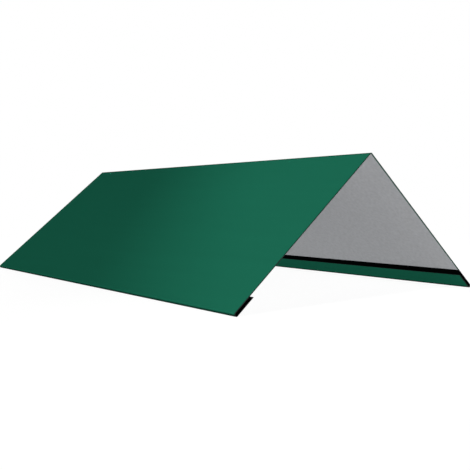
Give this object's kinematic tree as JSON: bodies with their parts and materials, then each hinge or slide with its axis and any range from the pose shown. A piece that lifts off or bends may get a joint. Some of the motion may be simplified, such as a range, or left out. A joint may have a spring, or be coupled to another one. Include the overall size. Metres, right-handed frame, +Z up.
{
  "type": "roof ridge cap",
  "caption": "Folded coated-steel sheet in an inverted V, with an open hem turned in along each eave, made to cover the joint along a roof's ridge.",
  "frame": {"origin": "on the floor plane that the hem folds stand on, under the middle of the ridge", "axes": "+Y along the ridge, +X across it, +Z up from the eaves to the ridge"},
  "size_m": [0.2896, 0.485, 0.1238],
  "materials": {
    "green_coated_steel": "matte"
  },
  "bodies": {
    "root": {"ridge_cap": "green_coated_steel"}
  },
  "joints": []
}
